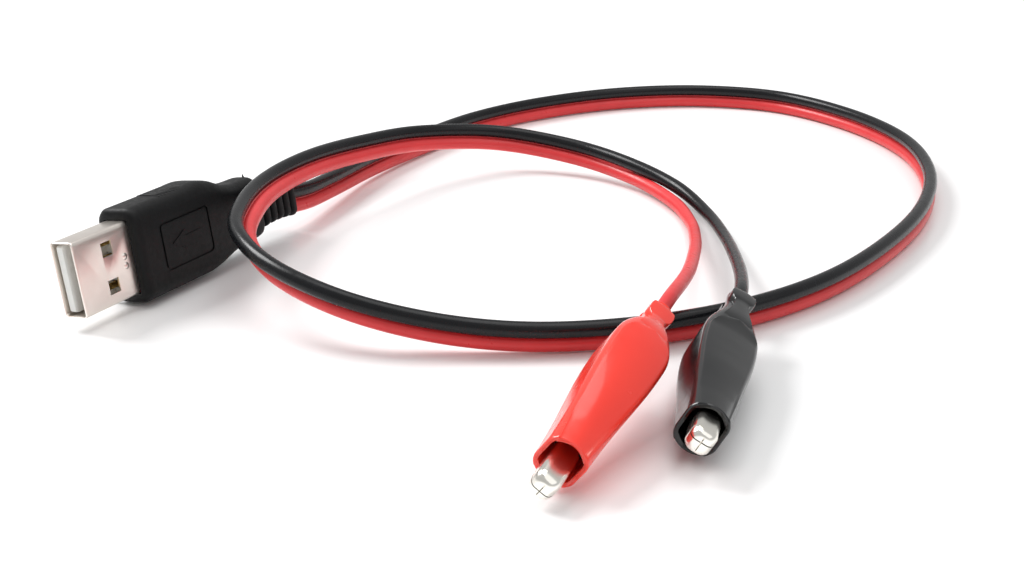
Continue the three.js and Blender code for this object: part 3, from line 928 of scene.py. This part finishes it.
    def ridges(self) -> list[Skin]:
        """Short half-round ridges across both narrow sides, which fade at their ends."""
        corner, flat = 2.3, self.body_half_height - 2.3
        around = np.linspace(0, 2 * math.pi, 10, endpoint=False)
        made = []
        for side in (-1, 1):
            for i in range(9):
                rings = []
                for y in (-2.5, -2.2, -1.6, 0.0, 1.6, 2.2, 2.5):
                    over = max(0.0, abs(y) - flat)
                    z = self.body_half_width - corner + math.sqrt(corner**2 - over**2)
                    reach = 0.03 + 0.19 * (1 - (abs(y) / 2.5) ** 3)
                    x = 20.18 + 0.72 * i
                    rings.append(np.column_stack([x + reach * np.cos(around), np.full(10, y),
                                                  side * (z + reach * np.sin(around))]))
                made.append(loft(rings))
        return made

    def panel_arrows(self) -> list[Skin]:
        """A plain raised arrow in each panel that points to the mouth."""
        made = []
        outline = [(19.4, 0.0), (22.4, 1.5), (22.4, 0.55), (26.6, 0.55),
                   (26.6, -0.55), (22.4, -0.55), (22.4, -1.5)]
        for face in (-1, 1):
            low = np.array([(x, face * (self.body_half_height - 0.05), z) for x, z in outline])
            high = low + np.array((0, face * 0.17, 0))
            made.append(loft([low, high]))
        return made

    def flash(self) -> list[Skin]:
        """Two slivers of moulding flash: on top at the back, and at a lower front corner."""
        around = np.linspace(0, 2 * math.pi, 8, endpoint=False)
        slivers = []
        for base, tip in (((44.2, 0, 4.2), (44.0, 0, 5.3)), ((12.3, 3.0, -7.3), (12.0, 3.9, -7.6))):
            rings = []
            for centre, reach in ((base, 0.4), (tip, 0.03)):
                circle = np.column_stack([np.cos(around), 0.5 * np.sin(around), 0.5 * np.sin(around)])
                rings.append(np.array(centre) + reach * circle)
            slivers.append(loft(rings))
        return slivers


# ---------------------------------------------------------------- the clips
@dataclass
class AlligatorClip:
    """A sprung clip in its soft boot."""

    colour: Side
    place: Place
    vinyl: VinylFinish
    jaw_half: float = 1.7
    jaw_wall: float = 0.38
    jaw_corner: float = 1.0
    jaw_tip: float = 19.0
    front_start: float = 11.0
    nose_start: float = 16.9
    tooth_start: float = 7.0
    tooth_pitch: float = 1.2
    tooth_depth: float = 0.6
    boot_neck: float = -24.0
    boot_mouth: float = 14.0
    boot_wall: float = 0.62
    neck_bore: float = 1.4
    neck_axis: float = -0.4
    pad_centre: float = -8.1
    pad_radius: float = 3.72
    pad_plane: tuple[tuple[float, ...], ...] = (
        (-12.0, -9.5, -7.5, -5.0, -2.0, 2.0, 7.0, 12.5),
        (5.72, 5.92, 5.96, 5.9, 5.74, 5.4, 4.9, 4.4),
    )
    pad_halves: tuple[tuple[float, ...], ...] = (
        (-8.1, -5.0, -2.0, 2.0, 6.0, 9.5, 12.0, 14.0),
        (3.72, 3.74, 3.62, 3.3, 2.9, 2.55, 2.3, 2.1),
    )
    tab_plan: tuple[Point, ...] = (
        (-23.1, 1.2, 0.3), (-23.0, 1.55, 0.42), (-22.75, 1.8, 0.5), (-22.0, 1.95, 0.55), (-20.7, 1.9, 0.52),
        (-20.1, 1.7, 0.45), (-19.8, 1.4, 0.36), (-19.5, 1.2, 0.3), (-18.6, 1.12, 0.26), (-17.4, 1.25, 0.24),
        (-16.0, 1.6, 0.24), (-14.6, 2.0, 0.22), (-13.2, 2.35, 0.15), (-12.4, 2.4, 0.0),
    )

    def __post_init__(self) -> None:
        """Works out the boot's profile: x, half width, half height, height of the middle, corner radius."""
        self.profile = np.array(eased([
            (self.boot_neck, 1.82, 1.82, -0.4, 1.82), (-21.4, 1.82, 1.82, -0.4, 1.82),
            (-20.0, 1.9, 1.95, -0.3, 1.85),
            (-18.5, 2.1, 2.4, 0.0, 1.9), (-16.5, 2.55, 2.9, 0.45, 1.9), (-14.5, 3.15, 3.4, 0.85, 1.9),
            (-12.0, 3.8, 3.7, 1.2, 1.7), (-9.0, 4.15, 3.98, 1.5, 1.4), (-5.5, 4.15, 3.98, 1.5, 1.25),
            (-2.0, 4.0, 3.92, 1.4, 1.3), (2.0, 3.7, 3.82, 1.2, 1.5), (7.0, 3.28, 3.8, 1.0, 1.9),
            (12.0, 3.02, 3.76, 0.8, 2.3), (self.boot_mouth, 2.98, 3.78, 0.75, 2.5),
        ], 0.25))

    @property
    def name(self) -> str:
        """The clip's colour as its pieces' names start with it."""
        return self.colour.name.lower()

    @property
    def jaw_body(self) -> str:
        """The body that the moving jaw rides on."""
        return f"{self.name}_jaw"

    def build(self) -> None:
        """Makes every piece of the clip."""
        self.jaw(Jaw.FIXED, back=-1.8, rim=-0.1, body=LEAD_BODY)
        self.jaw(Jaw.MOVING, back=1.75, rim=0.05, body=self.jaw_body)
        self.spring()
        self.boot()
        redress(f"{self.name}_pivot_pin", JAW_NICKEL)
        redress(f"{self.name}_clip_conductor", BARE_STRANDS)

    def jaw(self, which: Jaw, back: float, rim: float, body: str) -> None:
        """Makes a jaw: its packed rear, and a folded front with rounded nose, teeth and closing seam."""
        node = f"{self.name}_{which.value}"
        place = self.place.matrix()
        nose = mesh_object("nose", [self.jaw_nose(back, rim)], place)
        side = 1 if back > 0 else -1
        slit_low, slit_high = sorted((rim - side * 1.2, back - side * 0.75))
        carve(nose, [block((18.25, -0.07, slit_low), (20, 0.07, slit_high))], place)
        piece = mesh_object(f"{node}_folded", [cad_copy(node, place, self.front_start + 0.6),
                                               self.jaw_channel(back, rim)], place)
        join(piece, nose)
        smooth(piece, 35)
        finished(piece, JAW_NICKEL, node, body=body)

    def rim_at(self, x: float, rim: float) -> float:
        """The height of a jaw's toothed edge at x, whose points reach rim."""
        share = ((x - self.tooth_start) / self.tooth_pitch) % 1
        return rim - self.tooth_depth * abs(2 * share - 1)

    def jaw_channel(self, back: float, rim: float) -> Skin:
        """The folded channel behind the nose, with teeth along both edges."""
        rings = []
        for x in np.arange(self.front_start, 17.61, self.tooth_pitch / 4):
            edge = self.rim_at(x, rim)
            outer = self.arch(x, self.jaw_half, back, edge, self.jaw_corner)
            inner_back = back - math.copysign(self.jaw_wall, back)
            inner = self.arch(x, self.jaw_half - self.jaw_wall, inner_back, edge, self.jaw_corner - 0.35)
            rings.append(np.vstack([outer, inner[::-1]]))
        return loft(rings)

    def arch(self, x: float, half: float, back: float, edge: float, corner: float) -> np.ndarray:
        """A U across x: from one edge, round two corners at the back, to the other edge."""
        side = 1 if back > 0 else -1
        centre = back - side * corner
        points = [(x, -half, edge)]
        for sign, first in ((-1, math.pi), (1, math.pi / 2)):
            for step in range(7):
                angle = first - math.pi / 2 * step / 6
                across = sign * (half - corner) + corner * math.cos(angle)
                points.append((x, across, centre + side * corner * math.sin(angle)))
        points.append((x, half, edge))
        return np.array(points)

    def jaw_nose(self, back: float, rim: float) -> Skin:
        """The rounded nose that closes the channel."""
        rings = []
        side = 1 if back > 0 else -1
        edge = rim - self.tooth_depth / 2
        for share in (0.0, 0.12, 0.28, 0.45, 0.6, 0.72, 0.82, 0.9, 0.95, 0.985, 1.0):
            x = self.nose_start + (self.jaw_tip - self.nose_start) * share
            shrink = 1 - math.sqrt(max(0.0, 1 - share**3))
            half = self.jaw_half - 1.0 * shrink
            height = abs(back - edge) - 0.75 * shrink
            corner = min(self.jaw_corner, half - 0.1, 0.85 * height)
            rings.append(self.arch(x, half, edge + side * height, edge, corner))
        return loft(rings)

    def spring(self) -> None:
        """Makes the torsion spring: a coil round the pin with a leg along each jaw."""
        radius, turns = 1.0, 1.5
        coil = []
        for i in range(16):
            angle = -math.pi / 2 + 2 * math.pi * turns * i / 15
            coil.append((radius * math.cos(angle), -0.315 + 0.63 * i / 15, radius * math.sin(angle)))
        low, high = coil[0][1], coil[-1][1]
        path = [(-8, low, -1.02), (-4, low, -1.02), *coil, (-4, high, 1.35), (-8, high, 2.5)]
        wire = tube(curve_through(path, 0.12), 0.18, 10)
        piece = mesh_object(f"{self.name}_spring_coil", [wire], self.place.matrix())
        smooth(piece)
        finished(piece, SPRING_STEEL, f"{self.name}_torsion_spring", body=None)
        self.jaw_body
        self.place.point(0, 0, -0.8)
        self.place.point(0, 0, 0.8)
        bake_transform(piece)

    def section(self, x: float) -> tuple[float, ...]:
        """The boot's measures across x.

        Args:
            x: the place along the clip, in millimetres.

        Returns:
            Half width, half height, height of the middle, corner radius, and the pad's half width and rise.
        """
        body = [float(np.interp(x, self.profile[:, 0], self.profile[:, k])) for k in (1, 2, 3, 4)]
        cap = self.pad_centre - self.pad_radius
        if x < cap:
            return (*body, 0.15, 0.0)
        plane = float(np.interp(x, *self.pad_plane))
        rise = max(0.0, plane - body[2] - body[1])
        if x < self.pad_centre:
            return (*body, max(0.2, math.sqrt(self.pad_radius**2 - (x - self.pad_centre) ** 2)), rise)
        return (*body, float(np.interp(x, *self.pad_halves)), rise)

    def boot_ring(self, x: float, less: float = 0.0) -> np.ndarray:
        """The boot's outline across x, drawn in by less: a pad on each broad face, and rounded sides."""
        half_y, half_z, mid, corner, pad, rise = self.section(x)
        share = float(np.interp(x, (4.0, 10.0), (0.68, 1.0)))
        half_y, half_z, corner = half_y - less, half_z - less * share, max(0.3, corner - less)
        pad = min(pad, half_y - 0.08)
        rise = rise if less == 0 else 0.0
        over = max(0.0, pad + 0.04 - (half_y - corner))
        start = math.acos(min(1.0, over / corner))
        side = []
        for angle in (*np.linspace(start, 0, 9), *np.linspace(0, -start, 9)):
            lift = math.copysign(half_z - corner, angle if angle else 1.0)
            side.append((half_y - corner + corner * math.cos(angle), lift + corner * math.sin(angle)))
        side[9] = (half_y, -(half_z - corner))
        foot = half_z - corner + corner * math.sin(start)
        rim = foot + 0.75 * rise
        crown = half_z + rise - rim
        top = []
        for share in np.linspace(-1, 1, 15):
            top.append((share * (pad - 0.07), rim + crown * (1 - share**2)))
        edge = (pad, rim - 0.08 * min(1.0, rise / 0.3))
        face = [(-edge[0], edge[1]), *top, edge]
        loop = [*face, *side, *((y, -z) for y, z in reversed(face)), *((-y, z) for y, z in reversed(side))]
        return np.array([(x, y, mid + z) for y, z in loop])

    def boot(self) -> None:
        """Makes the boot: a hollow sleeve with raised pads, and a collar tab on each face of the neck."""
        cap = self.pad_centre - self.pad_radius
        along = [*np.arange(self.boot_neck, cap - 0.1, 0.7), cap - 0.02, cap + 0.02, cap + 0.1,
                 cap + 0.25, cap + 0.5, cap + 0.85, cap + 1.3,
                 *np.arange(cap + 1.8, self.boot_mouth, 0.6), self.boot_mouth]
        outer = [self.boot_ring(x) for x in along]
        lips = [self.boot_ring(self.boot_mouth, less) + np.array((out, 0, 0))
                for out, less in ((0.14, 0.1), (0.18, 0.3))]
        inner = [self.boot_ring(x, self.boot_wall) for x in reversed(along) if x > -20.5]
        count = len(outer[0])
        bore = [self.bore_ring(x, count) for x in (-20.9, self.boot_neck)]
        skins = [sleeve([*outer, *lips, *inner, *bore]), *(self.tab(face) for face in (1, -1))]
        piece = mesh_object(f"{self.name}_boot_vinyl", skins, self.place.matrix())
        rest_on_table(piece)
        smooth(piece, 38)
        finished(piece, self.vinyl, f"{self.name}_boot", body=None)
        self.jaw_body
        self.place.point(0, 0, -1.011)
        self.place.point(1.383, 0, 7.262)
        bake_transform(piece)

    def bore_ring(self, x: float, count: int) -> np.ndarray:
        """The neck's round bore, with its points in the same order as the outline's."""
        outline = self.boot_ring(-20.0)
        turn = np.unwrap(np.arctan2(outline[:, 2] - self.neck_axis, outline[:, 1]))
        y, z = self.neck_bore * np.cos(turn), self.neck_bore * np.sin(turn)
        return np.column_stack([np.full(count, x), y, self.neck_axis + z])

    def tab(self, face: int) -> Skin:
        """The raised collar bar on one side of the neck, and the strap that runs from it to the pad."""
        rings = []
        for x, half, rise in self.tab_plan:
            _, reach, mid, *_ = self.section(x)
            outer, inner = mid + face * (reach + rise), mid + face * (reach - 1.0)
            shoulder = outer - face * 0.24
            ring = [(x, y, outer - face * 0.14 * (y / half) ** 2)
                    for y in np.linspace(-half + 0.1, half - 0.1, 9)]
            ring += [(x, half, shoulder), (x, half, inner), (x, -half, inner), (x, -half, shoulder)]
            rings.append(np.array(ring))
        return loft(rings)


def main() -> None:
    """Builds the view, the cord, the plug and the clips, in that order."""
    logging.basicConfig(level=logging.INFO, format="%(name)s: %(message)s")
    Studio().build()
    TwinCord().build()
    UsbPlug(PLUG_PLACE).build()
    AlligatorClip(Side.RED, RED_CLIP_PLACE, RED_VINYL).build()
    AlligatorClip(Side.BLACK, BLACK_CLIP_PLACE, BLACK_VINYL).build()


if __name__ == "__main__":
    main()
